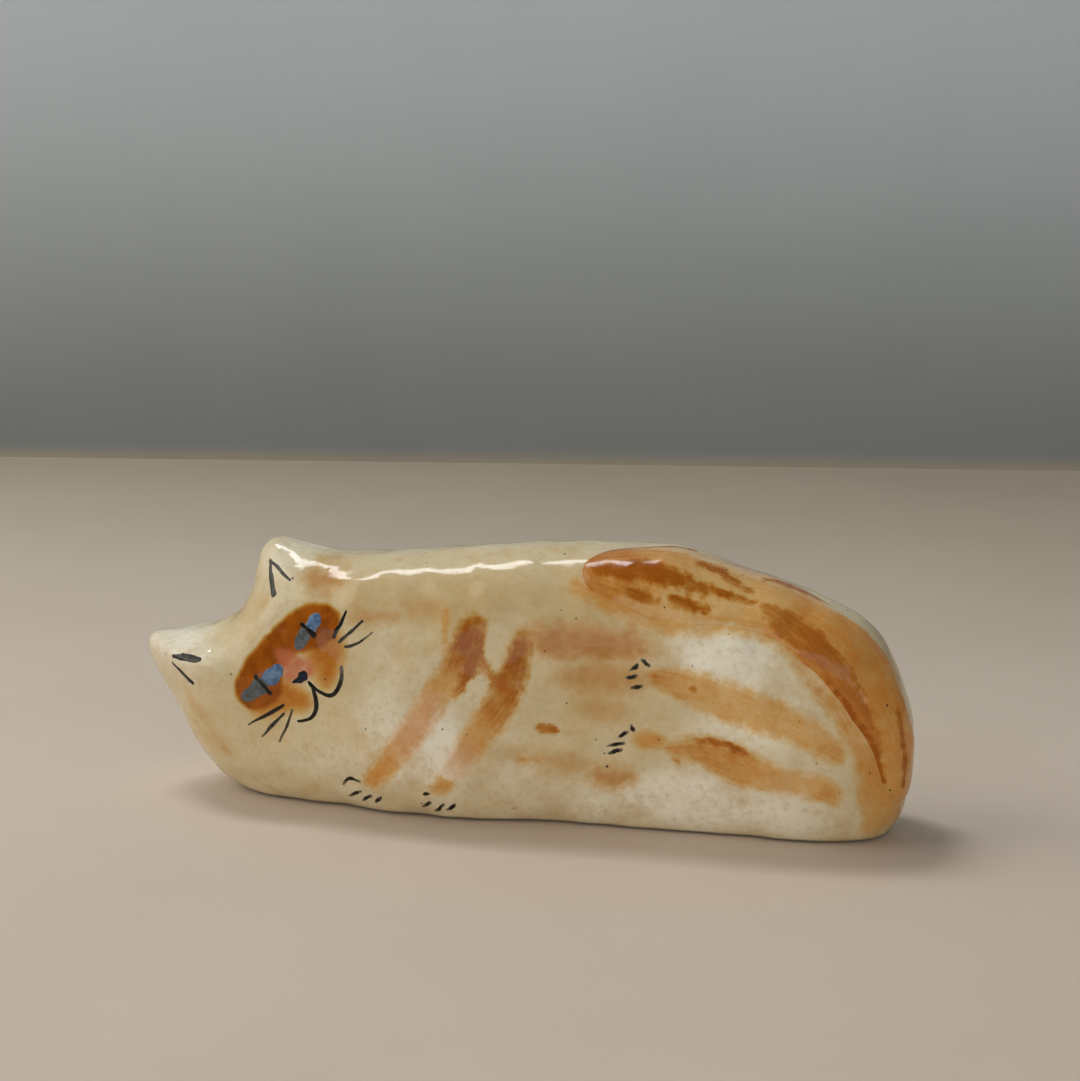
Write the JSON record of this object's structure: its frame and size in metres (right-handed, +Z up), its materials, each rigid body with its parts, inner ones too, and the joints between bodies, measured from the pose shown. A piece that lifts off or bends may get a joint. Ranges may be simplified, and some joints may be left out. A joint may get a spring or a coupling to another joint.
{
  "type": "ceramic cat figurine",
  "caption": "Small glazed ceramic cat lying along its belly edge, with pinched ears, a tail coil in relief and a brushed face, legs and claws.",
  "frame": {"origin": "on the flat foot, in the table plane, under the middle of the figurine's length, in the plane that its rounded edge lies in", "axes": "+X along the cat from the head to the rump, +Y from the painted front to the back, +Z up"},
  "size_m": [0.081, 0.0202, 0.0279],
  "materials": {
    "cream_clay": "creamy buff clay under a clear glossy glaze, with sparse dark iron specks",
    "tail_orange": "streaky orange-brown slip under the clear glaze",
    "stripe_orange": "translucent orange-tan brush wash under the clear glaze",
    "deep_orange": "dense burnt-orange brush colour under the clear glaze",
    "cheek_orange": "pale orange brush wash under the clear glaze",
    "pale_tan": "thin tan wash under the clear glaze",
    "pink": "thin pink wash under the clear glaze",
    "bright_blue": "blue brush colour under the clear glaze",
    "grey_blue": "grey-blue brush colour under the clear glaze",
    "navy": "blue-black brush colour under the clear glaze",
    "black": "black brush line under the clear glaze",
    "grey": "thinned grey-black brush line under the clear glaze"
  },
  "bodies": {
    "root": {"clay_body": "cream_clay", "tail_coil": "tail_orange", "pupil_upper": "black", "eye_upper_bright": "bright_blue", "eye_upper_shaded": "grey_blue", "pupil_lower": "black", "eye_lower_bright": "bright_blue", "eye_lower_shaded": "grey_blue", "nose": "navy", "mouth_upper_cheek": "black", "mouth_lower_cheek": "black", "muzzle_pink": "pink", "face_mask": "deep_orange", "cheek_upper": "cheek_orange", "cheek_lower": "cheek_orange", "whisker_upper_1": "black", "whisker_upper_2": "grey", "whisker_upper_3": "grey", "whisker_lower_1": "black", "whisker_lower_2": "grey", "whisker_lower_3": "grey", "ear_mark_lower_a": "grey", "ear_mark_lower_b": "black", "ear_mark_upper_a": "grey", "ear_mark_upper_b": "grey", "foreleg_left": "stripe_orange", "foreleg_right": "stripe_orange", "forepaw_right": "stripe_orange", "shoulder_streak": "pale_tan", "hind_leg_left": "stripe_orange", "hind_leg_dark_fleck": "deep_orange", "hind_leg_right": "stripe_orange", "hind_heel_right": "stripe_orange", "hind_paw_right": "stripe_orange", "forepaw_left_claw_1": "black", "forepaw_left_claw_2": "black", "forepaw_left_claw_3": "black", "forepaw_left_claw_4": "black", "forepaw_right_claw_1": "black", "forepaw_right_claw_2": "black", "forepaw_right_claw_3": "black", "forepaw_right_claw_4": "black", "hind_paw_left_claw_1": "black", "hind_paw_left_claw_2": "black", "hind_paw_left_claw_3": "black", "hind_paw_left_claw_4": "black", "hind_paw_right_claw_1": "black", "hind_paw_right_claw_2": "black", "hind_paw_right_claw_3": "black", "hind_paw_right_claw_4": "black", "nape_wash": "pale_tan", "shoulder_wash": "pale_tan", "flank_wash": "pale_tan", "belly_spot": "stripe_orange", "belly_wash": "pale_tan"}
  },
  "joints": []
}
